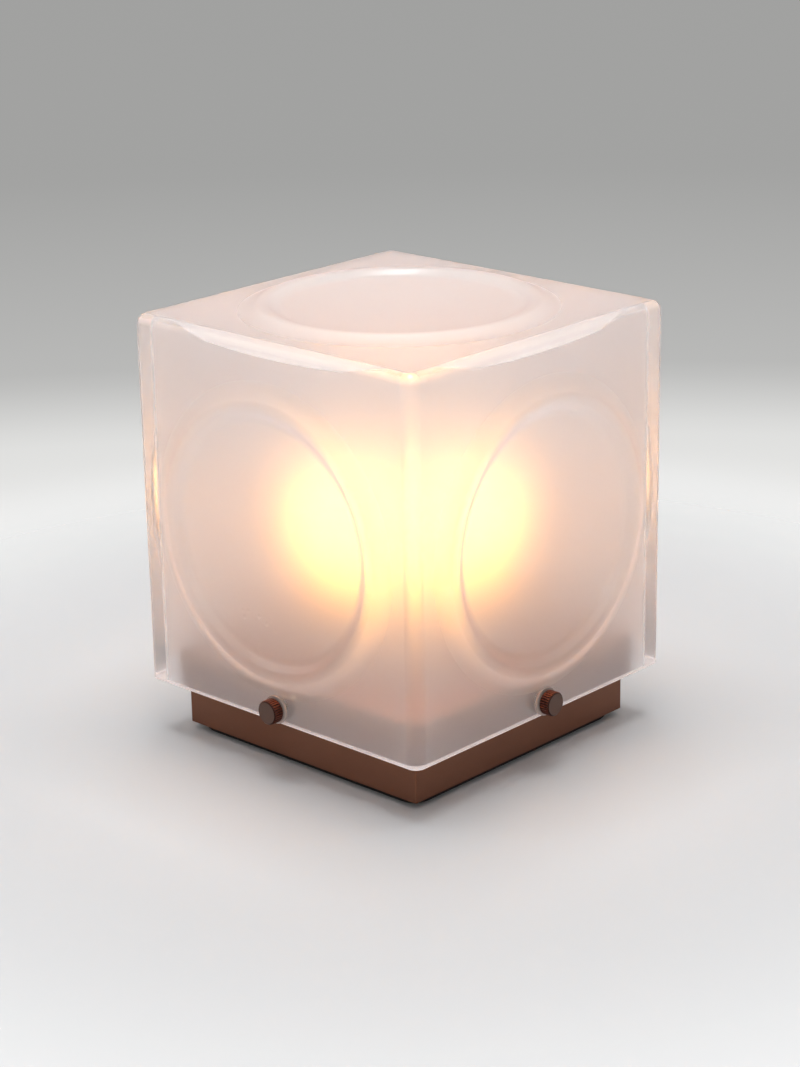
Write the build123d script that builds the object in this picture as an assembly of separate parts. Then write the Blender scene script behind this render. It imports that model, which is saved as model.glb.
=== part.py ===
from build123d import *
import os
from math import cos, pi, sin, sqrt

# Portable outdoor table lamp: a frosted glass cube, with a ring around a shallow dish on each face,
# hangs by four knurled thumb screws on a square metal base, over an opal globe on a post.
# Millimetres, +Z up. The origin is under the middle of the foot pad. The photograph shows the
# front (-Y) and the right (+X) side, and the switch and the charging port are at the back (+Y).

# Shade, whose width follows from the base that it hangs on
shade_height = 155.0
shade_wall = 6.0
shade_edge_radius = 4.5
cavity_edge_radius = 3.0
roof_thickness = 12.8
roof_corner_thickness = 1.6
rim_chamfer = 0.8

# Round lens on each of the shade's five faces: a raised ring around a shallow dish
ring_washer_gap = 0.2
ring_foot_radius = 63.5
ring_outer_flank = 9.0
ring_inner_flank = 6.0
ring_crest_height = 3.9
ring_crest_rounding = 6.0
dish_edge_height = 0.6
dish_edge_rounding = 8.0
dish_depth = 2.6

# Base, whose width follows from the battery and the board that it holds
foot_height = 3.0
foot_inset = 2.5
foot_corner_radius = 8.0
foot_edge_chamfer = 0.6
plinth_reveal = 20.0
housing_rise = 15.0
housing_wall = 5.0
housing_roof = 3.5
housing_edge_radius = 0.8
plate_ledge = 1.5
plate_thickness = 2.5
plate_gap = 0.3
seal_thickness = 1.0
corner_post_diameter = 9.0
corner_post_inset = 13.0
plate_screw_diameter = 3.0
plate_screw_length = 9.0

# Thumb screws and what they clamp
screw_height = 6.0
screw_diameter = 4.0
screw_engagement = 7.5
head_diameter = 10.0
head_length = 4.8
head_chamfer = 0.6
knurl_teeth = 30
knurl_depth = 0.45
knurl_flank = 0.3
washer_diameter = 11.6
washer_thickness = 1.0
running_clearance = 0.08
bush_wall = 0.8
bush_clearance = 0.1
screw_clearance = 0.2
pad_thickness = 5.5
pad_width = 12.5
pad_height = 10.0
insert_wall = 0.8
insert_length = 8.0
insert_boss_wall = 2.0

# Light
globe_diameter = 60.0
globe_wall = 2.0
globe_neck_radius = 15.0
globe_neck_height = 4.0
globe_flange_width = 4.0
globe_flange_thickness = 2.0
gasket_thickness = 1.0
collar_wall = 2.2
collar_lip = 1.8
collar_gap = 0.3
post_head_radius = 20.0
post_head_thickness = 4.0
post_radius = 10.0
post_flare_radius = 4.0
post_flange_radius = 23.0
post_flange_thickness = 3.0
post_bore_radius = 3.5
post_screw_circle = 36.0
post_screw_diameter = 3.0
led_board_radius = 12.0
led_board_thickness = 1.6
led_chip = 2.8
led_chip_height = 0.7
led_ring_radius = 7.5
led_ring_count = 6

# Battery
cell_count = 4
cell_diameter = 21.0
cell_length = 70.0
cell_gap = 0.5
cradle_wall = 2.0
cradle_floor = 1.5
cradle_height = 10.0
cradle_front_gap = 10.2
cradle_post_gap = 1.0
cradle_board_gap = 4.7
tab_thickness = 0.3
tab_height = 7.0
foam_width = 30.0
foam_length = 46.0

# Driver board
board_width = 84.0
board_depth = 26.0
board_thickness = 1.6
board_wall_gap = 1.5
board_post_gap = 4.0
standoff_height = 4.0
standoff_diameter = 5.0
standoff_inset = 4.0
board_screw_diameter = 2.5
board_screw_length = 4.5
pan_head_ratio = 1.8
component_pitch = 12.0
component_setback = 3.0
coil_width = 8.0
coil_height = 4.0
coil_chamfer = 1.2
capacitor_diameter = 6.0
capacitor_height = 6.0
chip_width = 5.0
chip_height = 1.0
plug_width = 7.0
plug_depth = 4.5
plug_height = 4.0

# Charging port and switch
port_offset = 22.0
socket_width = 9.0
socket_height = 3.2
socket_length = 7.4
socket_shell = 0.3
socket_back = 1.0
socket_setback = 1.0
tongue_setback = 1.0
tongue_width = 6.6
tongue_thickness = 0.7
slot_clearance = 0.7
cover_width = 16.0
cover_height = 9.0
cover_thickness = 1.5
cover_anchor_height = 2.0
cover_hinge_gap = 0.1
cover_gap = 0.2
rib_depth = 0.8
rib_clearance = 0.6
button_diameter = 10.0
button_proud = 0.6
button_travel = 0.6
button_flange = 1.5
button_flange_thickness = 1.2
button_seal_thickness = 0.8
button_stem_diameter = 3.0
switch_width = 6.0
switch_depth = 4.0
switch_plunger_length = 1.0
switch_gap = 0.05

# Wires
wire_diameter = 1.6
wire_spacing = 2.4
wire_bend = 6.4
battery_wire_inset = 5.0
battery_wire_rise = 2.0
battery_wire_bend = 4.0

# Widths that follow from the sizes above, from the battery outwards to the glass
cell_pitch = cell_diameter + cell_gap
cradle_width = cell_count * cell_pitch + 2 * cradle_wall
cradle_length = cell_length + 2 * (tab_thickness + cradle_wall)
post_reach = corner_post_inset + corner_post_diameter / 2 - housing_wall
pocket_width = max(
    cradle_front_gap + cradle_length + cradle_board_gap + board_depth + board_wall_gap,
    cradle_width + 2 * (cradle_post_gap + post_reach),
    board_width + 2 * (board_post_gap + post_reach),
)
plate_pocket_width = pocket_width + 2 * plate_ledge
housing_width = pocket_width + 2 * housing_wall
cavity_width = housing_width + 2 * pad_thickness
shade_width = cavity_width + 2 * shade_wall

# Distances from the lamp's axis, or from the middle of a lens
ring_crest_radius = ring_foot_radius - ring_outer_flank
dish_radius = ring_crest_radius - ring_inner_flank
housing_face = housing_width / 2
glass_inner_face = cavity_width / 2
glass_outer_face = shade_width / 2
washer_face = glass_outer_face + washer_thickness
post_corner = housing_face - corner_post_inset
cell_offset = cradle_front_gap + cradle_length / 2 - pocket_width / 2
board_back = pocket_width / 2 - board_wall_gap
board_middle = board_back - board_depth / 2
board_front = board_back - board_depth
cover_recess = cover_thickness + cover_gap / 2
socket_mouth = housing_face - cover_recess - socket_setback

# Levels above the ground
shade_bottom = foot_height + plinth_reveal
shade_top = shade_bottom + shade_height
housing_top = shade_bottom + housing_rise
housing_ceiling = housing_top - housing_roof
screw_level = shade_bottom + screw_height
lens_level = screw_level + washer_diameter / 2 + ring_washer_gap + ring_foot_radius
globe_level = lens_level
neck_bottom = globe_level - sqrt((globe_diameter / 2) ** 2 - globe_neck_radius**2) - globe_neck_height
post_top = neck_bottom - globe_flange_thickness - gasket_thickness
plate_top = foot_height + plate_thickness
ledge_level = plate_top + seal_thickness
cell_level = plate_top + cradle_floor + cell_diameter / 2
cell_top = cell_level + cell_diameter / 2
wire_level = (cell_top + housing_ceiling) / 2
board_level = plate_top + standoff_height
board_top = board_level + board_thickness
port_level = board_top + socket_height / 2
hinge_level = port_level - cover_height / 2

# Alignment of a shape that stands on its own origin, and of one that hangs from it
STANDING = (Align.CENTER, Align.CENTER, Align.MIN)
HANGING = (Align.CENTER, Align.CENTER, Align.MAX)

# Turn from the front to each side of the lamp
SIDES = {"front": 0, "right": 90, "back": 180, "left": 270}


def facing(side, distance, height):
    """Frame on one side: local Z points outwards and local Y points up."""
    return Rot(0, 0, SIDES[side]) * Pos(0, -distance, height) * Rot(90, 0, 0)


def on_back(x, distance, height):
    """Frame at the back, at a place along X: local Z points outwards and local Y points up."""
    return Pos(x, 0, 0) * facing("back", distance, height)


def group(shapes):
    """Like pieces that share one node."""
    return Compound(children=list(shapes))


def square_corners(inset):
    """The four corners of a square, as places."""
    return [(x, y) for x in (-inset, inset) for y in (-inset, inset)]


def lens():
    """Round lens on z = 0: a rounded ring around a shallow dish, with a root to bury in the wall."""
    dish = TangentArc((0, dish_edge_height - dish_depth), (dish_radius, dish_edge_height), tangent=(1, 0))
    ring = Polyline(
        dish @ 1,
        (ring_crest_radius, ring_crest_height),
        (ring_foot_radius, 0),
        (ring_foot_radius, -shade_wall / 2),
        (0, -shade_wall / 2),
        dish @ 0,
    )
    section = Sketch() + make_face([dish, ring])
    crest = section.vertices().sort_by(Axis.Y)[-1]
    section = fillet(crest, ring_crest_rounding)
    dish_edge = section.vertices().sort_by_distance((dish_radius, dish_edge_height))[0]
    section = fillet(dish_edge, dish_edge_rounding)
    return revolve(Plane.XZ * section, Axis.Z)


def glass_shade():
    """The glass cube: open below, rounded edges, a domed ceiling, five lenses and four screw holes."""
    block = Pos(0, 0, shade_bottom) * Box(shade_width, shade_width, shade_height, align=STANDING)
    rim = block.edges().group_by(Axis.Z)[0]
    block = fillet(block.edges() - rim, shade_edge_radius)
    block = chamfer(block.edges().group_by(Axis.Z)[0], rim_chamfer)
    lens_places = [Pos(0, 0, shade_top)] + [facing(side, glass_outer_face, lens_level) for side in SIDES]
    recess = Cylinder(ring_crest_radius, dish_depth, align=HANGING)
    for place in lens_places:
        block = block - place * recess + place * lens()
    cavity = Box(cavity_width, cavity_width, shade_height, align=STANDING)
    cavity = fillet(cavity.edges().filter_by(Axis.Z), cavity_edge_radius)
    sag = roof_thickness - roof_corner_thickness
    ceiling_radius = (cavity_width**2 / 2 + sag**2) / (2 * sag)
    cavity -= Pos(0, 0, shade_height - roof_thickness + ceiling_radius) * Sphere(ceiling_radius)
    block -= Pos(0, 0, shade_bottom) * cavity
    hole_radius = screw_diameter / 2 + screw_clearance + bush_wall + bush_clearance
    for side in SIDES:
        block -= facing(side, glass_outer_face, screw_level) * Cylinder(hole_radius, 3 * shade_wall)
    return block


def thumb_screw(side):
    """Knurled thumb screw: chamfered grip and a shank that reaches into the insert."""
    crest = head_diameter / 2
    root = crest - knurl_depth
    tooth = ((0, root), (knurl_flank, crest), (1 - knurl_flank, crest))
    turns = [(2 * pi * (k + share) / knurl_teeth, r) for k in range(knurl_teeth) for share, r in tooth]
    outline = Polyline([(r * cos(a), r * sin(a)) for a, r in turns], close=True)
    grip = extrude(make_face(outline), head_length)
    turned = Cylinder(crest, head_length, align=STANDING)
    turned = chamfer(turned.edges().filter_by(GeomType.CIRCLE), head_chamfer)
    reach = washer_face - housing_face + screw_engagement
    shank = Cylinder(screw_diameter / 2, reach, align=HANGING)
    shank = chamfer(shank.edges().group_by(Axis.Z)[0], head_chamfer)
    return facing(side, washer_face, screw_level) * ((grip & turned) + shank)


def screw_washer(side):
    """Pale nylon washer that stays on the screw and bears on the glass."""
    ring = Cylinder(washer_diameter / 2, washer_thickness, align=STANDING)
    ring = fillet(ring.edges().group_by(Axis.Z)[-1], washer_thickness / 4)
    ring -= Cylinder(screw_diameter / 2 + running_clearance, 3 * washer_thickness)
    return facing(side, glass_outer_face, screw_level) * ring


def glass_bush(side):
    """Nylon bush that lines the hole in the glass."""
    inner = screw_diameter / 2 + screw_clearance
    bush = Cylinder(inner + bush_wall, shade_wall, align=STANDING) - Cylinder(inner, 3 * shade_wall)
    return facing(side, glass_inner_face, screw_level) * bush


def shade_pad(side):
    """Rubber spacer between the glass and the base."""
    pad = Box(pad_width, pad_height, pad_thickness, align=STANDING)
    pad = fillet(pad.edges().filter_by(Axis.Z), 2 * rim_chamfer)
    pad -= Cylinder(screw_diameter / 2 + screw_clearance, 3 * pad_thickness)
    return facing(side, housing_face, screw_level) * pad


def threaded_insert(side):
    """Brass insert pressed into the wall of the base, for one thumb screw."""
    outer = screw_diameter / 2 + running_clearance + insert_wall
    insert = Cylinder(outer, insert_length, align=HANGING)
    insert -= Cylinder(screw_diameter / 2 + running_clearance, 3 * insert_length)
    return facing(side, housing_face, screw_level) * insert


def base_housing():
    """Cast base: plinth and upper block in one, open below, with bosses, port and switch holes."""
    height = housing_top - foot_height
    block = Pos(0, 0, foot_height) * Box(housing_width, housing_width, height, align=STANDING)
    block = fillet(block.edges() - block.edges().group_by(Axis.Z)[0], housing_edge_radius)
    pocket = Box(pocket_width, pocket_width, housing_ceiling - foot_height, align=STANDING)
    plate_pocket = Box(plate_pocket_width, plate_pocket_width, ledge_level - foot_height, align=STANDING)
    block -= Pos(0, 0, foot_height) * (pocket + plate_pocket)
    boss_radius = screw_diameter / 2 + running_clearance + insert_wall + insert_boss_wall
    for side in SIDES:
        boss = Cylinder(boss_radius, insert_length, align=HANGING)
        block += facing(side, housing_face - housing_edge_radius, screw_level) * boss
    for x, y in square_corners(post_corner):
        post = Cylinder(corner_post_diameter / 2, housing_ceiling - plate_top, align=STANDING)
        block += Pos(x, y, plate_top) * post
    insert_hole = Cylinder(boss_radius - insert_boss_wall, insert_length, align=HANGING)
    for side in SIDES:
        block -= facing(side, housing_face, screw_level) * insert_hole
    thread = Cylinder(plate_screw_diameter / 2, plate_screw_length, align=STANDING)
    for x, y in square_corners(post_corner):
        block -= Pos(x, y, plate_top) * thread
    block -= Pos(0, 0, housing_top) * Cylinder(post_bore_radius + running_clearance, 3 * housing_roof)
    block -= Pos(0, 0, housing_top) * PolarLocations(post_screw_circle / 2, 3) * Cylinder(
        post_screw_diameter / 2, 3 * housing_roof
    )
    return block - port_cuts() - button_bore()


def port_cuts():
    """Recess for the rubber cover, and the slot behind it for the socket."""
    recess_height = cover_height + cover_anchor_height + cover_hinge_gap + 2 * cover_gap
    recess_middle = hinge_level + cover_height + cover_gap - recess_height / 2
    recess = Box(cover_width + 2 * cover_gap, recess_height, cover_recess, align=HANGING)
    slot_height = socket_height + 2 * slot_clearance
    slot = SlotOverall(socket_width + 2 * slot_clearance, slot_height)
    slot = extrude(slot, -1.5 * housing_wall)
    return on_back(port_offset, housing_face, recess_middle) * recess + (
        on_back(port_offset, housing_face, port_level) * slot
    )


def button_bore():
    """Bore in the back wall that guides the button."""
    bore = Cylinder(button_diameter / 2 + running_clearance, 3 * housing_wall)
    return on_back(-port_offset, housing_face, port_level) * bore


def bottom_plate():
    """Flat plate that closes the base, let into it from below, with countersunk holes."""
    width = plate_pocket_width - 2 * plate_gap
    plate = Pos(0, 0, foot_height) * Box(width, width, plate_thickness, align=STANDING)
    hole = countersunk(plate_screw_diameter + 2 * screw_clearance, 3 * plate_thickness)
    for x, y in square_corners(post_corner):
        plate -= Pos(x, y, foot_height) * hole
    return plate


def countersunk(diameter, length):
    """Countersunk screw that points up: a cone head, flush at z = 0, and a shank."""
    head = diameter / 2
    cone = Cone(2 * head, head, head, align=STANDING)
    return cone + Cylinder(head, length, align=STANDING)


def bottom_screws():
    """Screws that hold the bottom plate, under the foot pad."""
    screw = countersunk(plate_screw_diameter - 2 * running_clearance, plate_screw_length)
    return group(Pos(x, y, foot_height) * screw for x, y in square_corners(post_corner))


def bottom_seal():
    """Flat ring between the plate and the ledge in the base."""
    width = plate_pocket_width - 2 * plate_gap
    inner = pocket_width
    ring = Box(width, width, seal_thickness, align=STANDING) - Box(inner, inner, 3 * seal_thickness)
    return Pos(0, 0, plate_top) * ring


def foot_pad():
    """Black rubber pad under the base, set in from its edge, with round corners."""
    width = housing_width - 2 * foot_inset
    pad = extrude(RectangleRounded(width, width, foot_corner_radius), foot_height)
    return chamfer(pad.edges().group_by(Axis.Z)[0], foot_edge_chamfer)


def light_post():
    """Turned aluminium post: screwed-down flange, slim stem and a flat head for the light board."""
    stem_bottom = housing_top + post_flange_thickness
    head_bottom = post_top - post_head_thickness
    flare = post_flare_radius
    foot = Polyline(
        (post_bore_radius, housing_top),
        (post_flange_radius, housing_top),
        (post_flange_radius, stem_bottom),
        (post_radius + flare, stem_bottom),
    )
    lower_flare = RadiusArc(foot @ 1, (post_radius, stem_bottom + flare), flare)
    stem = Line(lower_flare @ 1, (post_radius, head_bottom - flare))
    upper_flare = RadiusArc(stem @ 1, (post_radius + flare, head_bottom), flare)
    head = Polyline(
        upper_flare @ 1,
        (post_head_radius, head_bottom),
        (post_head_radius, post_top),
        (post_bore_radius, post_top),
        foot @ 0,
    )
    section = make_face([foot, lower_flare, stem, upper_flare, head])
    post = revolve(Plane.XZ * section, Axis.Z)
    hole = Cylinder(post_screw_diameter / 2 + screw_clearance, 3 * post_flange_thickness)
    return post - Pos(0, 0, stem_bottom) * PolarLocations(post_screw_circle / 2, 3) * hole


def post_screws():
    """Button-head screws that hold the post on the roof of the base."""
    radius = post_screw_diameter / 2 - running_clearance
    head = Cylinder(2 * radius, radius, align=STANDING)
    head = fillet(head.edges().group_by(Axis.Z)[-1], radius / 2)
    screw = head + Cylinder(radius, post_flange_thickness + housing_roof, align=HANGING)
    places = PolarLocations(post_screw_circle / 2, 3)
    return group(Pos(0, 0, housing_top + post_flange_thickness) * place * screw for place in places)


def led_board():
    """Round metal-cored board on the head of the post."""
    return Pos(0, 0, post_top) * Cylinder(led_board_radius, led_board_thickness, align=STANDING)


def led_chips():
    """Light-emitting chips: one in the middle and a ring around it."""
    chip = Pos(0, 0, post_top + led_board_thickness) * Box(
        led_chip, led_chip, led_chip_height, align=STANDING
    )
    ring = PolarLocations(led_ring_radius, led_ring_count)
    return group([chip] + [place * chip for place in ring])


def globe_gasket():
    """Silicone ring between the head of the post and the globe."""
    outer = globe_neck_radius + globe_flange_width
    ring = Cylinder(outer, gasket_thickness, align=STANDING)
    ring -= Cylinder(globe_neck_radius - globe_wall, 3 * gasket_thickness)
    return Pos(0, 0, post_top) * ring


def diffuser_globe():
    """Opal globe with a short neck and a flange to clamp it by."""
    outer = globe_diameter / 2
    inner = outer - globe_wall
    neck_inner = globe_neck_radius - globe_wall
    flange_bottom = neck_bottom - globe_flange_thickness
    neck_top = neck_bottom + globe_neck_height
    inner_opening = globe_level - sqrt(inner**2 - neck_inner**2)
    outside = ThreePointArc(
        (globe_neck_radius, neck_top), (outer, globe_level), (0, globe_level + outer)
    )
    inside = ThreePointArc(
        (0, globe_level + inner), (inner, globe_level), (neck_inner, inner_opening)
    )
    top = Line(outside @ 1, inside @ 0)
    neck = Polyline(
        inside @ 1,
        (neck_inner, flange_bottom),
        (globe_neck_radius + globe_flange_width, flange_bottom),
        (globe_neck_radius + globe_flange_width, neck_bottom),
        (globe_neck_radius, neck_bottom),
        outside @ 0,
    )
    return revolve(Plane.XZ * make_face([outside, top, inside, neck]), Axis.Z)


def globe_collar():
    """Ring that screws over the head of the post and clamps the flange of the globe."""
    bore = post_head_radius + collar_gap
    bottom = post_top - post_head_thickness
    lip_bottom = neck_bottom
    ring = Cylinder(bore + collar_wall, lip_bottom + collar_lip - bottom, align=STANDING)
    ring = fillet(ring.edges().group_by(Axis.Z)[-1], collar_lip / 2)
    ring -= Cylinder(bore, lip_bottom - bottom, align=STANDING)
    ring -= Cylinder(globe_neck_radius + collar_gap, 3 * (lip_bottom - bottom))
    return Pos(0, 0, bottom) * ring


def cell_places():
    """Places of the battery cells, side by side along X, with their length along Y."""
    middle = (cell_count - 1) / 2
    return [Pos((k - middle) * cell_pitch, cell_offset, cell_level) for k in range(cell_count)]


def battery_cells():
    """Round lithium cells that lie in the cradle."""
    cell = Rot(90, 0, 0) * Cylinder(cell_diameter / 2, cell_length)
    cell = fillet(cell.edges().filter_by(GeomType.CIRCLE), cell_gap)
    return group(place * cell for place in cell_places())


def battery_cradle():
    """Moulded tray with a trough for each cell, on the bottom plate."""
    tray = Box(cradle_width, cradle_length, cradle_height, align=STANDING)
    tray = Pos(0, cell_offset, plate_top) * tray
    trough = Rot(90, 0, 0) * Cylinder(cell_diameter / 2 + running_clearance, cell_length + 2 * tab_thickness)
    for place in cell_places():
        tray -= place * trough
    return tray


def cell_tabs():
    """Nickel strips welded across both ends of the cells, which stand in front of the cradle's ends."""
    width = cell_count * cell_pitch - cell_pitch / 2
    tab = Box(width, tab_thickness, tab_height, align=STANDING)
    level = plate_top + cradle_height
    reach = (cell_length + tab_thickness) / 2
    return group(Pos(0, cell_offset + end * reach, level) * tab for end in (-1, 1))


def battery_foam():
    """Foam blocks that keep the cells down, each side of the wires."""
    block = Box(foam_width, foam_length, housing_ceiling - cell_top, align=HANGING)
    x = cell_pitch + cell_gap
    return group(Pos(side * x, cell_offset, housing_ceiling) * block for side in (-1, 1))


def board_corners():
    """Places of the driver board's screws."""
    x = board_width / 2 - standoff_inset
    rows = (board_front + standoff_inset, board_back - standoff_inset)
    return [(side * x, y) for side in (-1, 1) for y in rows]


def driver_board():
    """Charging and dimming board near the back wall, on four standoffs."""
    board = Box(board_width, board_depth, board_thickness, align=STANDING)
    board = Pos(0, board_middle, board_level) * board
    for x, y in board_corners():
        board -= Pos(x, y, board_level) * Cylinder(
            board_screw_diameter / 2 + running_clearance, 3 * board_thickness
        )
    notch_width = button_diameter + 2 * button_flange + 2 * board_wall_gap
    notch_depth = board_back - flange_back_distance() + button_travel + cover_gap
    notch = Box(notch_width, 2 * notch_depth, 3 * board_thickness)
    return board - Pos(-port_offset, board_back, board_level) * notch


def board_standoffs():
    """Threaded posts under the driver board."""
    standoff = Cylinder(standoff_diameter / 2, standoff_height, align=STANDING)
    standoff -= Cylinder(board_screw_diameter / 2, 3 * standoff_height)
    return group(Pos(x, y, plate_top) * standoff for x, y in board_corners())


def board_screws():
    """Pan-head screws of the driver board."""
    radius = board_screw_diameter / 2 - running_clearance
    head = Cylinder(pan_head_ratio * radius, radius, align=STANDING)
    head = fillet(head.edges().group_by(Axis.Z)[-1], radius / 2)
    screw = head + Cylinder(radius, board_screw_length, align=HANGING)
    return group(Pos(x, y, board_top) * screw for x, y in board_corners())


def board_components():
    """Plug, coil, capacitor and chips in a row on the driver board, clear of the wires in its middle."""
    row = board_middle - component_setback
    plug = Box(plug_width, plug_depth, plug_height, align=STANDING)
    chip = Box(chip_width, chip_width, chip_height, align=STANDING)
    coil = Box(coil_width, coil_width, coil_height, align=STANDING)
    coil = chamfer(coil.edges().filter_by(Axis.Z), coil_chamfer)
    capacitor = Cylinder(capacitor_diameter / 2, capacitor_height, align=STANDING)
    places = ((-3, plug), (-2, chip), (-1, coil), (1, chip), (2, capacitor))
    return group(Pos(k * component_pitch, row, board_top) * shape for k, shape in places)


def charging_socket():
    """Metal shell of the charging socket: a flat oval tube, closed at the back."""
    outer = extrude(SlotOverall(socket_width, socket_height), -socket_length)
    bore = SlotOverall(socket_width - 2 * socket_shell, socket_height - 2 * socket_shell)
    shell = outer - extrude(bore, -(socket_length - socket_back))
    return on_back(port_offset, socket_mouth, port_level) * shell


def socket_tongue():
    """Contact tongue inside the charging socket."""
    length = socket_length - socket_back - tongue_setback
    tongue = Box(tongue_width, tongue_thickness, length, align=HANGING)
    return on_back(port_offset, socket_mouth - tongue_setback, port_level) * tongue


def port_cover():
    """Soft flap over the charging port, with a sealing rib. It bends outwards about its lower edge."""
    rib_height = socket_height + 2 * slot_clearance - 2 * rib_clearance
    rib_width = socket_width + 2 * slot_clearance - 2 * rib_clearance
    flap = Box(cover_width, cover_height, cover_thickness, align=HANGING)
    flap = fillet(flap.edges().filter_by(Axis.Z).group_by(Axis.Y)[-1], cover_thickness)
    rib = Pos(0, 0, -cover_thickness) * extrude(SlotOverall(rib_width, rib_height), -rib_depth)
    return on_back(port_offset, housing_face, port_level) * (flap + rib)


def port_cover_anchor():
    """Fixed lower strip of the flap, glued into the recess."""
    strip = Box(cover_width, cover_anchor_height, cover_thickness, align=HANGING)
    level = hinge_level - cover_hinge_gap - cover_anchor_height / 2
    return on_back(port_offset, housing_face, level) * strip


def power_button():
    """Round push button: a slightly dished cap, a flange inside the wall and a stem to the switch."""
    radius = button_diameter / 2
    wall_back = -housing_wall
    flange_front = wall_back - button_seal_thickness
    flange_back = flange_front - button_flange_thickness
    stem_end = -(housing_face - switch_front() - switch_gap - button_travel)
    cap = Pos(0, 0, button_proud) * Cylinder(radius, button_proud - flange_front, align=HANGING)
    cap = fillet(cap.edges().group_by(Axis.Z)[-1], button_proud / 2)
    flange = Pos(0, 0, flange_front) * Cylinder(
        radius + button_flange, button_flange_thickness, align=HANGING
    )
    stem = Pos(0, 0, flange_back) * Cylinder(
        button_stem_diameter / 2, flange_back - stem_end, align=HANGING
    )
    return on_back(-port_offset, housing_face, port_level) * (cap + flange + stem)


def button_seal():
    """Silicone ring between the wall and the flange of the button."""
    ring = Cylinder(button_diameter / 2 + button_flange, button_seal_thickness, align=HANGING)
    ring -= Cylinder(button_diameter / 2 + running_clearance, 3 * button_seal_thickness)
    return on_back(-port_offset, housing_face - housing_wall, port_level) * ring


def flange_back_distance():
    """Distance from the lamp's axis to the inner face of the button's flange."""
    return housing_face - housing_wall - button_seal_thickness - button_flange_thickness


def switch_front():
    """Distance from the lamp's axis to the tip of the switch's plunger."""
    return board_back - housing_wall + switch_plunger_length


def button_switch():
    """Side-facing push switch on the driver board, with its own plunger."""
    body = Box(switch_width, socket_height, switch_depth, align=HANGING)
    plunger = Cylinder(button_stem_diameter / 2, switch_plunger_length, align=STANDING)
    return on_back(-port_offset, switch_front() - switch_plunger_length, port_level) * (body + plunger)


def wire(path_points, bend):
    """Insulated wire along straight runs joined by arcs, in the plane of the lamp's depth and height."""
    path = FilletPolyline(path_points, radius=bend)
    start = Plane(path @ 0, z_dir=path % 0)
    return sweep(start * Circle(wire_diameter / 2), path)


def led_leads():
    """Pair of wires from the light board, down the post and over the cells to the driver board."""
    route = ((0, post_top), (0, wire_level), (board_middle, wire_level), (board_middle, board_top))
    return group(
        wire([(x, y, z) for y, z in route], wire_bend) for x in (-wire_spacing / 2, wire_spacing / 2)
    )


def battery_leads():
    """Pair of wires from the cell tabs to the driver board."""
    start = cell_offset + cell_length / 2 + tab_thickness
    end = board_front + standoff_inset
    level = plate_top + cradle_height + tab_height - battery_wire_rise
    route = ((start, level), (end, level), (end, board_top))
    x = board_width / 2 - standoff_inset - battery_wire_inset
    return group(wire([(side * x, y, z) for y, z in route], battery_wire_bend) for side in (-1, 1))


ONE_OFF_PIECES = (
    glass_shade,
    base_housing,
    bottom_plate,
    bottom_screws,
    bottom_seal,
    foot_pad,
    light_post,
    post_screws,
    led_board,
    led_chips,
    globe_gasket,
    diffuser_globe,
    globe_collar,
    battery_cells,
    battery_cradle,
    cell_tabs,
    battery_foam,
    driver_board,
    board_standoffs,
    board_screws,
    board_components,
    charging_socket,
    socket_tongue,
    port_cover,
    port_cover_anchor,
    power_button,
    button_seal,
    button_switch,
    led_leads,
    battery_leads,
)
PIECES_ON_EACH_SIDE = (thumb_screw, screw_washer, glass_bush, shade_pad, threaded_insert)

os.makedirs("parts", exist_ok=True)
for piece in ONE_OFF_PIECES:
    export_step(piece(), f"parts/{piece.__name__}.step")
for piece in PIECES_ON_EACH_SIDE:
    for side in SIDES:
        export_step(piece(side), f"parts/{piece.__name__}_{side}.step")
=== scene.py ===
import math

import bmesh
import bpy
from mathutils import Matrix, Vector


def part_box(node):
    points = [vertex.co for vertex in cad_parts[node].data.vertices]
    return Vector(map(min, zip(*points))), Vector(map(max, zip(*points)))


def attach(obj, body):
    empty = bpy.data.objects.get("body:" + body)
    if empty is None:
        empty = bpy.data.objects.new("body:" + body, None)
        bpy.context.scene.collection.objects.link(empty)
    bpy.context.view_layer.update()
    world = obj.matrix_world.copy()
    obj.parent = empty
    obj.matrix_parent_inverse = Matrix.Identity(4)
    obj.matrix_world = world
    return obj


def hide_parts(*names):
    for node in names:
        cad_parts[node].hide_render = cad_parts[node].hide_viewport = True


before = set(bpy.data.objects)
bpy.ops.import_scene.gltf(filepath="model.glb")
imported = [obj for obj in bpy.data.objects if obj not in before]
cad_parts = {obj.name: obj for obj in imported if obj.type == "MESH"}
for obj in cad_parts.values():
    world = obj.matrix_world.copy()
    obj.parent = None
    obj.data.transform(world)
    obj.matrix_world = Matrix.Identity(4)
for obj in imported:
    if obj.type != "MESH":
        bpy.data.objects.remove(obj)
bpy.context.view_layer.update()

# Foot pad: a square of black rubber with round corners, cut from sheet and glued under the base.
# Its face has a fine grain and is matt enough to stay black above a bright floor.


def shader_input(material, label):
    """One input of a material's main shader."""
    return material.node_tree.nodes["Principled BSDF"].inputs[label]


def tune(material, values):
    """Sets inputs of a material's main shader, by their labels."""
    for label, value in values.items():
        shader_input(material, label).default_value = value


def finish(name, colour, roughness, metallic=0.0):
    """New material with one shader of this even colour, roughness and metal."""
    material = bpy.data.materials.new(name)
    material.use_nodes = True
    tune(material, {"Base Color": (*colour, 1), "Roughness": roughness, "Metallic": metallic})
    return material


def node(owner, kind, **settings):
    """New node of a material or world. Settings go to its inputs by label, or to its properties."""
    made = owner.node_tree.nodes.new(kind)
    for key, value in settings.items():
        label = key.replace("_", " ").title()
        if label in made.inputs:
            made.inputs[label].default_value = value
        else:
            setattr(made, key, value)
    return made


def join(owner, source, target):
    """Link between two sockets of a material or world."""
    owner.node_tree.links.new(source, target)


def place_on(material):
    """Socket with the place on the piece, in the lamp's own coordinates."""
    return node(material, "ShaderNodeTexCoord").outputs["Object"]


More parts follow.
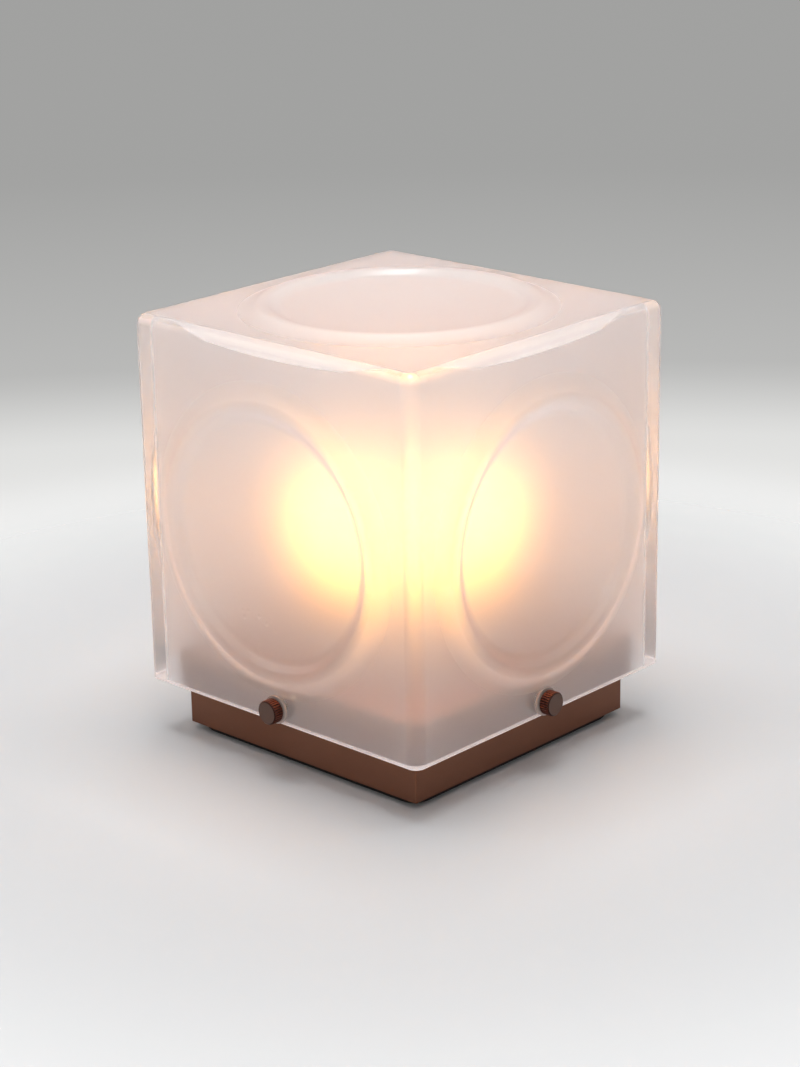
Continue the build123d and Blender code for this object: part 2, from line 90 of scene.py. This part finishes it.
def noise_on(material, scale, detail=4.0, stretch=(1, 1, 1)):
    """Noise over the piece. Returns the socket of its strength, from 0 to 1."""
    mapping = node(material, "ShaderNodeMapping", scale=stretch)
    texture = node(material, "ShaderNodeTexNoise", scale=scale, detail=detail)
    join(material, place_on(material), mapping.inputs["Vector"])
    join(material, mapping.outputs["Vector"], texture.inputs["Vector"])
    return texture.outputs["Fac"]


def ramp(owner, strength, stops):
    """Tones along a strength, from stops of a position and a colour or grey."""
    made = node(owner, "ShaderNodeValToRGB")
    elements = made.color_ramp.elements
    elements[0].position, elements[1].position = stops[0][0], stops[-1][0]
    for position, tone in stops[1:-1]:
        elements.new(position)
    for element, (position, tone) in zip(elements, stops):
        element.color = (*tone, 1) if isinstance(tone, tuple) else (tone, tone, tone, 1)
    join(owner, strength, made.inputs["Fac"])
    return made.outputs["Color"]


def vary(material, strength, label, low, high, start=0.3, end=0.7):
    """Lets a pattern vary one of the shader's inputs between two colours or two numbers."""
    tones = ramp(material, strength, ((start, low), (end, high)))
    join(material, tones, shader_input(material, label))


def raise_grain(material, strength, height, share=1.0):
    """Presses a pattern into the surface, to a height in metres."""
    bump = node(material, "ShaderNodeBump", strength=share, distance=height)
    join(material, strength, bump.inputs["Height"])
    join(material, bump.outputs["Normal"], shader_input(material, "Normal"))


def dress(material, *names):
    """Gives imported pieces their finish."""
    for name in names:
        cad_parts[name].material_slots[0].material = material


rubber = finish("black_rubber", (0.012, 0.012, 0.012), 0.7)
tune(rubber, {"Specular IOR Level": 0.1})
rubber_grain = noise_on(rubber, scale=900)
vary(rubber, rubber_grain, "Base Color", (0.008, 0.008, 0.008), (0.02, 0.019, 0.018))
vary(rubber, rubber_grain, "Roughness", 0.6, 0.8)
raise_grain(rubber, rubber_grain, height=0.00005)
dress(rubber, "foot_pad", "bottom_seal", "port_cover", "port_cover_anchor")

# Bottom plate: steel sheet with a black coat, let into the base and held by four countersunk
# screws. The zinc-plated fixings here share their finish with those inside the lamp.
plate_coat = finish("black_coat", (0.03, 0.03, 0.03), 0.55)
coat_grain = noise_on(plate_coat, scale=1500)
vary(plate_coat, coat_grain, "Roughness", 0.45, 0.65)
raise_grain(plate_coat, coat_grain, height=0.00003)
dress(plate_coat, "bottom_plate")

zinc = finish("zinc_plate", (0.5, 0.5, 0.49), 0.35, metallic=1.0)
zinc_clouds = noise_on(zinc, scale=700)
vary(zinc, zinc_clouds, "Base Color", (0.42, 0.42, 0.41), (0.58, 0.57, 0.54))
vary(zinc, zinc_clouds, "Roughness", 0.25, 0.45)
dress(zinc, "bottom_screws", "post_screws", "board_screws")

# Base housing: an aluminium casting, blasted and anodised a satin copper brown. The blasting
# leaves a fine even grain, and the dye is a little uneven from face to face.
bronze = finish("copper_brown", (0.18, 0.078, 0.052), 0.42, metallic=0.85)
dye_clouds = noise_on(bronze, scale=14, detail=2)
vary(bronze, dye_clouds, "Base Color", (0.165, 0.066, 0.037), (0.2, 0.086, 0.051))
blasting = noise_on(bronze, scale=2600, detail=2)
vary(bronze, blasting, "Roughness", 0.38, 0.5)
raise_grain(bronze, blasting, height=0.00002, share=0.5)
dress(bronze, "base_housing", "power_button")

# Battery: four round lithium cells in blue shrink sleeve, side by side in a moulded tray, with
# nickel strips welded across their ends and foam blocks that keep them down.
sleeve = finish("cell_sleeve", (0.05, 0.14, 0.32), 0.35)
sleeve_creases = noise_on(sleeve, scale=160, detail=3, stretch=(1, 0.15, 1))
vary(sleeve, sleeve_creases, "Roughness", 0.25, 0.5)
raise_grain(sleeve, sleeve_creases, height=0.0001)
dress(sleeve, "battery_cells")

moulding = finish("black_moulding", (0.025, 0.025, 0.026), 0.5)
spark_texture = noise_on(moulding, scale=2200, detail=2)
vary(moulding, spark_texture, "Roughness", 0.4, 0.6)
raise_grain(moulding, spark_texture, height=0.00003)
dress(moulding, "battery_cradle", "board_components", "button_switch", "socket_tongue")

nickel = finish("nickel_strip", (0.62, 0.59, 0.54), 0.3, metallic=1.0)
rolling_lines = noise_on(nickel, scale=60, detail=3, stretch=(1, 1, 40))
vary(nickel, rolling_lines, "Roughness", 0.22, 0.4)
dress(nickel, "cell_tabs", "charging_socket")

foam = finish("grey_foam", (0.12, 0.12, 0.125), 0.95)
foam_cells = noise_on(foam, scale=1400, detail=2)
vary(foam, foam_cells, "Base Color", (0.07, 0.07, 0.075), (0.17, 0.17, 0.175))
raise_grain(foam, foam_cells, height=0.0003)
dress(foam, "battery_foam")

# Driver board and light board: fibreglass board with green solder mask on four brass standoffs,
# and a round aluminium-cored one with a white mask under the light chips.
SIDES = ("front", "right", "back", "left")

mask = finish("green_mask", (0.02, 0.1, 0.045), 0.35)
mask_tracks = noise_on(mask, scale=420, detail=1)
vary(mask, mask_tracks, "Base Color", (0.012, 0.07, 0.03), (0.03, 0.14, 0.06), 0.48, 0.52)
raise_grain(mask, mask_tracks, height=0.00004)
dress(mask, "driver_board")

white_mask = finish("white_mask", (0.75, 0.75, 0.73), 0.4)
white_tracks = noise_on(white_mask, scale=420, detail=1)
vary(white_mask, white_tracks, "Base Color", (0.7, 0.7, 0.68), (0.78, 0.78, 0.76), 0.48, 0.52)
dress(white_mask, "led_board")

brass = finish("brass", (0.62, 0.43, 0.18), 0.3, metallic=1.0)
brass_marks = noise_on(brass, scale=500, detail=3)
vary(brass, brass_marks, "Roughness", 0.22, 0.42)
dress(brass, "board_standoffs", *(f"threaded_insert_{side}" for side in SIDES))

wire_sleeve = finish("red_silicone", (0.3, 0.02, 0.015), 0.5)
wire_clouds = noise_on(wire_sleeve, scale=300)
vary(wire_sleeve, wire_clouds, "Roughness", 0.4, 0.6)
dress(wire_sleeve, "led_leads", "battery_leads")

# Light post: turned from aluminium bar and screwed to the roof of the base. Its finish is the
# bare metal, with the fine rings of the lathe. The globe stands on it in a copper-brown collar.
bare_metal = finish("turned_aluminium", (0.7, 0.7, 0.7), 0.3, metallic=1.0)
lathe_rings = noise_on(bare_metal, scale=40, detail=2, stretch=(1, 1, 60))
vary(bare_metal, lathe_rings, "Roughness", 0.25, 0.42)
raise_grain(bare_metal, lathe_rings, height=0.00004)
dress(bare_metal, "light_post")
dress(bronze, "globe_collar")

silicone = finish("white_silicone", (0.72, 0.71, 0.68), 0.6)
silicone_clouds = noise_on(silicone, scale=500)
vary(silicone, silicone_clouds, "Roughness", 0.5, 0.7)
dress(silicone, "globe_gasket", "button_seal")

# Light chips and globe: warm white chips under a blown opal globe. The globe glows fully up to
# its middle and dims towards its crown, and its glow is what lights the glass from within.
warm_light = (1.0, 0.43, 0.075)
globe_glow = 7.2
crown_share = 0.1


def remap(owner, source, low, high, to_low=0.0, to_high=1.0, **settings):
    """Takes a number from one range to another, and stops at its ends."""
    made = node(
        owner, "ShaderNodeMapRange", from_min=low, from_max=high, to_min=to_low, to_max=to_high,
        **settings,
    )
    join(owner, source, made.inputs["Value"])
    return made.outputs["Result"]


def split(owner, vector):
    """Sockets of the three parts of a vector."""
    made = node(owner, "ShaderNodeSeparateXYZ")
    join(owner, vector, made.inputs["Vector"])
    return made.outputs


phosphor = finish("phosphor", (0.9, 0.7, 0.2), 0.5)
phosphor_grain = noise_on(phosphor, scale=3000)
vary(phosphor, phosphor_grain, "Base Color", (0.85, 0.62, 0.15), (0.95, 0.75, 0.25))
tune(phosphor, {"Emission Color": (*warm_light, 1), "Emission Strength": globe_glow})
dress(phosphor, "led_chips")

opal = finish("opal_diffuser", (0.85, 0.8, 0.74), 0.4)
tune(opal, {"Emission Strength": globe_glow})
globe_low, globe_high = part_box("diffuser_globe")
globe_middle = (globe_low.z + globe_high.z) / 2
up = split(opal, place_on(opal))["Z"]
from_crown = remap(opal, up, globe_high.z, globe_middle)
crown_light = tuple(crown_share * part for part in warm_light)
vary(opal, from_crown, "Emission Color", crown_light, warm_light, 0, 1)
dress(opal, "diffuser_globe")

# Glass shade: pressed in a mould as an open cube, 6 mm thick, with rounded edges and a ring
# around a shallow dish on each face. The plunger left its roof domed and its inside frosted.
mm = 0.001
hair = 1e-6
round_steps = 160
shade_width = 150 * mm
shade_height = 155 * mm
shade_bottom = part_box("glass_shade")[0].z
shade_top = shade_bottom + shade_height
edge_radius = 4.5 * mm
rim_bevel = 0.8 * mm
inner_edge_radius = 3 * mm
roof_middle = 12.8 * mm
roof_corner = 1.6 * mm
lens_level = shade_bottom + 75.5 * mm
ring_foot = 63.5 * mm
ring_crest = 54.5 * mm
ring_height = 3.9 * mm
ring_rounding = 2.9 * mm
dish_edge = 48.5 * mm
dish_edge_height = 0.6 * mm
dish_edge_rounding = 1.6 * mm
dish_depth = 2.6 * mm
dish_steps = 24
screw_level = shade_bottom + 6 * mm
# the wall and the holes keep 0.05 mm more room here, because glass that touches a pad goes black
wall = 5.95 * mm
screw_hole = 3.15 * mm

clear_glass = finish("satin_glass", (1.0, 0.99, 0.99), 0.25)
frosted_glass = finish("frosted_glass", (1.0, 0.98, 0.98), 0.65)
# the ground rim's glass also carries a faint painted glow, set with its haze below
ground_glass_painted_glow = finish("ground_glass_painted_glow", (1.0, 0.97, 0.96), 0.6)
glasses = (clear_glass, frosted_glass, ground_glass_painted_glow)


def piece_of(bm, name):
    """New object in the scene from a finished bmesh."""
    mesh = bpy.data.meshes.new(name)
    bm.to_mesh(mesh)
    bm.free()
    piece = bpy.data.objects.new(name, mesh)
    bpy.context.scene.collection.objects.link(piece)
    return piece


def round_off(bm, edges, radius, segments):
    """Rounds edges off."""
    bmesh.ops.bevel(
        bm, geom=edges, offset=radius, segments=segments, profile=0.5, affect="EDGES", material=-1
    )


def block(name, width, bottom, top, radius):
    """Square block with its upright and upper edges rounded."""
    bm = bmesh.new()
    bmesh.ops.create_cube(bm, size=1)
    bmesh.ops.scale(bm, vec=(width, width, top - bottom), verts=bm.verts)
    bmesh.ops.translate(bm, vec=(0, 0, (top + bottom) / 2), verts=bm.verts)
    edges = [e for e in bm.edges if any(v.co.z > bottom + mm for v in e.verts)]
    round_off(bm, edges, radius, 10)
    return piece_of(bm, name)


def turned(profile):
    """Solid of revolution about Z from the points of half its section."""
    bm = bmesh.new()
    points = [bm.verts.new((r, 0, z)) for r, z in profile]
    for a, b in zip(points, points[1:]):
        bm.edges.new((a, b))
    bmesh.ops.spin(
        bm, geom=bm.verts[:] + bm.edges[:], cent=(0, 0, 0), axis=(0, 0, 1), angle=2 * math.pi,
        steps=round_steps, use_merge=True,
    )
    bmesh.ops.remove_doubles(bm, verts=bm.verts, dist=hair / 10)
    bmesh.ops.recalc_face_normals(bm, faces=bm.faces)
    return bm


def combine(target, tool, operation):
    """Adds a solid to the target or takes it away, and removes the tool."""
    change = target.modifiers.new(operation, "BOOLEAN")
    change.operation = operation
    change.object = tool
    change.solver = "EXACT"
    changed = target.evaluated_get(bpy.context.evaluated_depsgraph_get())
    mesh = bpy.data.meshes.new_from_object(changed)
    target.modifiers.clear()
    target.data = mesh
    bpy.data.objects.remove(tool)


def rings_at(bm, radius, height):
    """Edges of a turned solid that run round it at one radius and height."""
    return [
        e for e in bm.edges
        if all(
            abs(v.co.xy.length - radius) < 10 * hair and abs(v.co.z - height) < 10 * hair
            for v in e.verts
        )
    ]


def lens_solid():
    """Ring and dish on z = 0, with a root that is buried in the wall."""
    curve = (dish_edge**2 + dish_depth**2) / (2 * dish_depth)
    dish_bottom = dish_edge_height - dish_depth
    profile = []
    for step in range(dish_steps + 1):
        r = dish_edge * step / dish_steps
        profile.append((r, dish_bottom + curve - math.sqrt(curve**2 - r**2)))
    profile += [(ring_crest, ring_height), (ring_foot, 0), (ring_foot, -wall / 2), (0, -wall / 2)]
    bm = turned(profile)
    round_off(bm, rings_at(bm, ring_crest, ring_height), ring_rounding, 12)
    round_off(bm, rings_at(bm, dish_edge, dish_edge_height), dish_edge_rounding, 6)
    piece = piece_of(bm, "lens")
    piece.data.materials.append(clear_glass)
    return piece


def disc_solid(radius, depth):
    """Plain disc that hangs from z = 0, to cut with."""
    return piece_of(turned([(0, mm), (radius, mm), (radius, -depth), (0, -depth)]), "disc")


def on_face(turn, level):
    """Place on one side of the shade: Z points outwards."""
    return (
        Matrix.Rotation(turn, 4, "Z") @ Matrix.Translation((0, -shade_width / 2, level))
        @ Matrix.Rotation(math.pi / 2, 4, "X")
    )


turns = [k * math.pi / 2 for k in range(4)]
shade = block("glass_cube", shade_width, shade_bottom, shade_top, edge_radius)
for glass in glasses:
    shade.data.materials.append(glass)
bm = bmesh.new()
bm.from_mesh(shade.data)
rim = [e for e in bm.edges if all(v.co.z < shade_bottom + hair for v in e.verts)]
round_off(bm, rim, rim_bevel, 3)
bm.to_mesh(shade.data)
bm.free()
lens_places = [Matrix.Translation((0, 0, shade_top))] + [on_face(turn, lens_level) for turn in turns]
for place in lens_places:
    for solid, operation in (
        (disc_solid(ring_crest, dish_depth), "DIFFERENCE"), (lens_solid(), "UNION")
    ):
        solid.data.transform(place)
        combine(shade, solid, operation)

cavity_width = shade_width - 2 * wall
cavity = block(
    "cavity", cavity_width, shade_bottom - mm, shade_top + 10 * mm, inner_edge_radius
)
sag = roof_middle - roof_corner
ceiling_radius = (cavity_width**2 / 2 + sag**2) / (2 * sag)
bm = bmesh.new()
bmesh.ops.create_uvsphere(bm, u_segments=256, v_segments=256, radius=ceiling_radius)
bmesh.ops.translate(bm, vec=(0, 0, shade_top - roof_middle + ceiling_radius), verts=bm.verts)
combine(cavity, piece_of(bm, "ball"), "DIFFERENCE")
cavity.data.materials.clear()
cavity.data.materials.append(frosted_glass)
combine(shade, cavity, "DIFFERENCE")
for turn in turns:
    drill = disc_solid(screw_hole, 2 * wall)
    drill.data.transform(on_face(turn, screw_level))
    combine(shade, drill, "DIFFERENCE")

bm = bmesh.new()
bm.from_mesh(shade.data)
bmesh.ops.remove_doubles(bm, verts=bm.verts, dist=hair / 10)
crease = math.radians(25)
for edge in bm.edges:
    edge.smooth = len(edge.link_faces) == 2 and edge.calc_face_angle(0) < crease
for face in bm.faces:
    face.smooth = True
    if all(v.co.z < shade_bottom + rim_bevel + hair for v in face.verts):
        face.material_index = glasses.index(ground_glass_painted_glow)
bm.to_mesh(shade.data)
bm.free()
even_normals = shade.modifiers.new("even_normals", "WEIGHTED_NORMAL")
even_normals.keep_sharp = True
even_normals.weight = 100


def calculate(owner, operation, *terms, kind="ShaderNodeMath", result="Value"):
    """Maths on sockets and plain values. Returns the socket of its result."""
    made = node(owner, kind, operation=operation)
    for socket, term in zip(made.inputs, terms):
        if isinstance(term, bpy.types.NodeSocket):
            join(owner, term, socket)
        else:
            socket.default_value = term
    return made.outputs[result]


def milky(material, kind, share, colour):
    """Mixes a share of white haze over a glass. Returns the socket that the share enters by."""
    output = material.node_tree.nodes["Material Output"].inputs["Surface"]
    haze = node(material, kind)
    haze.inputs["Color"].default_value = (*colour, 1)
    mix = node(material, "ShaderNodeMixShader", fac=share)
    join(material, output.links[0].from_socket, mix.inputs[1])
    join(material, haze.outputs["BSDF"], mix.inputs[2])
    join(material, mix.outputs["Shader"], output)
    return mix.inputs["Fac"]


glass_index = 1.5
for glass, transmission in ((clear_glass, 0.97), (frosted_glass, 1.0), (ground_glass_painted_glow, 1.0)):
    tune(glass, {"Transmission Weight": transmission, "IOR": glass_index})
tune(clear_glass, {"Coat Weight": 0.5, "Coat Roughness": 0.08})

# A few seed bubbles lie near the surface at the foot of the front dish, where the glass cooled
# first. They are shallow domes in a small patch.
vectors = "ShaderNodeVectorMath"
seed_patch = (-10 * mm, -74 * mm, 57 * mm)
seed_reach = 17 * mm
seed_height = 0.2 * mm
on_glass = place_on(clear_glass)
cells = node(clear_glass, "ShaderNodeTexVoronoi", scale=260)
join(clear_glass, on_glass, cells.inputs["Vector"])
domes = remap(clear_glass, cells.outputs["Distance"], 0.3, 0.08)
to_patch = calculate(clear_glass, "DISTANCE", on_glass, seed_patch, kind=vectors)
in_patch = remap(
    clear_glass, to_patch, seed_reach, seed_reach / 3, interpolation_type="SMOOTHSTEP"
)
raise_grain(clear_glass, calculate(clear_glass, "MULTIPLY", domes, in_patch), seed_height)

# The fire polish took the cube's edges further than its lenses, so the glass is glossier from
# the foot of each ring outwards. The distance is measured from the nearest lens's own axis.
polish_reach = 8 * mm
lens_roughness, edge_roughness = 0.28, 0.2
lens_middle = (0, 0, lens_level)
from_middle = calculate(
    clear_glass, "SUBTRACT", on_glass, lens_middle, kind=vectors, result="Vector"
)
spans = calculate(clear_glass, "ABSOLUTE", from_middle, kind=vectors, result="Vector")
span_x, span_y, span_z = split(clear_glass, spans)
wider = calculate(clear_glass, "MAXIMUM", span_x, span_y)
widest = calculate(clear_glass, "MAXIMUM", wider, span_z)
along_axis_squared = calculate(clear_glass, "MULTIPLY", widest, widest)
all_squared = calculate(clear_glass, "DOT_PRODUCT", spans, spans, kind=vectors)
off_axis_squared = calculate(clear_glass, "SUBTRACT", all_squared, along_axis_squared)
polish = remap(clear_glass, off_axis_squared, ring_foot**2, (ring_foot + polish_reach) ** 2)
vary(clear_glass, polish, "Roughness", lens_roughness, edge_roughness, 0, 1)

# Haze: the frosted inside scatters a share of the light, and the ground rim most of it. The clear
# outside looks milky only at a slant. The rim also has a faint painted glow, a painted highlight
# along the glass's bottom edge.
haze_colour = (1.0, 0.95, 0.97)
vary(frosted_glass, noise_on(frosted_glass, scale=900, detail=3), "Roughness", 0.72, 0.8)
milky(frosted_glass, "ShaderNodeBsdfTranslucent", 0.16, haze_colour)
milky(frosted_glass, "ShaderNodeBsdfDiffuse", 0.08, haze_colour)

edge_share = milky(clear_glass, "ShaderNodeBsdfTranslucent", 0.0, haze_colour)
slant = node(clear_glass, "ShaderNodeLayerWeight", blend=0.5).outputs["Facing"]
join(clear_glass, remap(clear_glass, slant, 0.42, 1.0, to_high=0.8), edge_share)

vary(ground_glass_painted_glow, noise_on(ground_glass_painted_glow, scale=1200, detail=3), "Roughness", 0.5, 0.7)
milky(ground_glass_painted_glow, "ShaderNodeBsdfTranslucent", 0.5, haze_colour)
milky(ground_glass_painted_glow, "ShaderNodeBsdfDiffuse", 0.4, haze_colour)
# painted highlight: the ground rim glows faintly, so the bottom edge of the glass shows as a bright
# line
tune(ground_glass_painted_glow, {"Emission Color": (1.0, 0.8, 0.72, 1), "Emission Strength": 0.5})

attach(shade, "lamp")
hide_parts("glass_shade")

# Thumb screws: turned from the same metal as the base, with a bare machined face and a straight
# knurl, with painted shade in its grooves and a painted highlight on its redder crests. Each bears
# on a pale nylon washer.
screw_metal = finish("knurled_screw", (0.12, 0.072, 0.06), 0.35, metallic=0.9)
face_radius, knurl_crest = 4.35 * mm, 5 * mm
place_x, place_y, place_z = split(screw_metal, place_on(screw_metal))
# of X and Y, the smaller one runs across the screw and the other along it
size_x = calculate(screw_metal, "ABSOLUTE", place_x)
size_y = calculate(screw_metal, "ABSOLUTE", place_y)
across = calculate(screw_metal, "MINIMUM", size_x, size_y)
above = calculate(screw_metal, "SUBTRACT", place_z, screw_level)
radial = node(screw_metal, "ShaderNodeCombineXYZ")
join(screw_metal, across, radial.inputs["X"])
join(screw_metal, above, radial.inputs["Y"])
from_axis = calculate(screw_metal, "LENGTH", radial.outputs["Vector"], kind=vectors)
# by distance from the axis: the screw's own face colour, then painted shade in the knurl's grooves
# and on its flanks, and painted highlight on its crests and their tips
face_tone, groove_painted_shade = (0.12, 0.072, 0.057), (0.012, 0.004, 0.003)
flank_painted_shade, crest_painted_highlight = (0.035, 0.01, 0.006), (0.13, 0.044, 0.031)
crest_tip_painted_highlight = (0.17, 0.06, 0.043)
knurl_painted_shade_and_highlight = ramp(
    screw_metal, remap(screw_metal, from_axis, face_radius, knurl_crest),
    ((0, face_tone), (0.15, groove_painted_shade), (0.5, flank_painted_shade), (0.85, crest_painted_highlight), (1, crest_tip_painted_highlight)),
)
join(screw_metal, knurl_painted_shade_and_highlight, shader_input(screw_metal, "Base Color"))
turning = node(screw_metal, "ShaderNodeTexNoise", noise_dimensions="1D", scale=9000, detail=2)
join(screw_metal, from_axis, turning.inputs["W"])
vary(screw_metal, turning.outputs["Fac"], "Roughness", 0.34, 0.5)
raise_grain(screw_metal, turning.outputs["Fac"], height=0.00002, share=0.6)
dress(screw_metal, *(f"thumb_screw_{side}" for side in SIDES))

# Washers, bushes and pads: what keeps the metal off the glass. The nylon ones show as a pale ring
# behind each screw's head, and the smoked silicone pads as a block behind the glass.
nylon = finish("pale_nylon", (0.55, 0.45, 0.41), 0.45)
vary(nylon, noise_on(nylon, scale=600), "Roughness", 0.38, 0.52)
smoked = finish("smoked_silicone", (0.3, 0.25, 0.22), 0.6)
vary(smoked, noise_on(smoked, scale=500), "Roughness", 0.5, 0.7)
for side in SIDES:
    dress(nylon, f"screw_washer_{side}", f"glass_bush_{side}")
    dress(smoked, f"shade_pad_{side}")

# Floor: a pale matt disc that fades out before its edge, so the lamp stands in an even grey
# studio with no line behind it.
floor_radius = 0.45
fade_start, fade_end = 0.15, 0.42
bm = bmesh.new()
bmesh.ops.create_circle(bm, cap_ends=True, segments=128, radius=floor_radius)
floor = piece_of(bm, "floor")
paper = finish("pale_floor", (0.68, 0.69, 0.705), 0.6)
from_lamp = calculate(paper, "LENGTH", place_on(paper), kind=vectors)
fade = remap(paper, from_lamp, fade_start, fade_end, 1.0, 0.0, interpolation_type="SMOOTHSTEP")
join(paper, fade, shader_input(paper, "Alpha"))
floor.data.materials.append(paper)

# Studio: a dome that is pale below, grey at the height of the lamp and bright above, which lights
# matt faces only weakly, with a wide soft light overhead and two weak ones in front.
sky = bpy.data.worlds.new("studio")
sky.use_nodes = True
bpy.context.scene.world = sky
background = sky.node_tree.nodes["Background"]
dome_low, dome_high = -0.35, 1.0
dome_blue = 0.985
dome_greys = (
    (-0.33, 0.86), (-0.285, 0.74), (-0.262, 0.49), (-0.19, 0.365), (-0.1, 0.355), (0.1, 0.5),
    (0.5, 1.2),
)
dome_tones = [(dome_low, 0.9)]
dome_tones += [(level, (grey, grey, grey * dome_blue)) for level, grey in dome_greys]
dome_tones += [(dome_high, 1.2)]
dome_stops = [((level - dome_low) / (dome_high - dome_low), tone) for level, tone in dome_tones]
look_up = split(sky, node(sky, "ShaderNodeTexCoord").outputs["Generated"])["Z"]
dome_colour = ramp(sky, remap(sky, look_up, dome_low, dome_high), dome_stops)
join(sky, dome_colour, background.inputs["Color"])
matt_share = 0.1
from_matt = node(sky, "ShaderNodeLightPath").outputs["Is Diffuse Ray"]
join(sky, remap(sky, from_matt, 0.0, 1.0, 1.0, matt_share), background.inputs["Strength"])


def soft_light(name, place, target, width, height, power):
    """Rectangular lamp at a place, turned towards a point."""
    lamp = bpy.data.lights.new(name, "AREA")
    lamp.shape = "RECTANGLE"
    lamp.size, lamp.size_y = width, height
    lamp.energy = power
    stand = bpy.data.objects.new(name, lamp)
    bpy.context.scene.collection.objects.link(stand)
    stand.location = place
    aim = Vector(target) - Vector(place)
    stand.rotation_euler = aim.to_track_quat("-Z", "Y").to_euler()


soft_light("overhead", (0, 0, 1.6), (0, 0, 0), width=1.0, height=1.0, power=21)
soft_light("left_fill", (-1.5, -1.2, 0.9), (0, 0, 0.1), width=1.2, height=1.6, power=3)
soft_light("right_fill", (1.4, -1.4, 0.8), (0, 0, 0.1), width=1.2, height=1.2, power=3.5)

# Camera: a long lens a little above the lamp, which looks at its front corner. Its place and its
# turns were fitted to the corners of the cube and the plinth in the photograph.
camera_place = (0.69796, -0.74506, 0.43066)
camera_heading, camera_drop, camera_roll = 0.754176, 0.328503, -0.018480
camera = bpy.data.cameras.new("camera")
camera.sensor_width = 36
camera.lens = 89.17
eye = bpy.data.objects.new("camera", camera)
bpy.context.scene.collection.objects.link(eye)
eye.matrix_world = (
    Matrix.Translation(camera_place) @ Matrix.Rotation(camera_heading, 4, "Z")
    @ Matrix.Rotation(math.pi / 2 - camera_drop, 4, "X") @ Matrix.Rotation(camera_roll, 4, "Z")
)
bpy.context.scene.camera = eye
bpy.context.scene.view_settings.view_transform = "Standard"
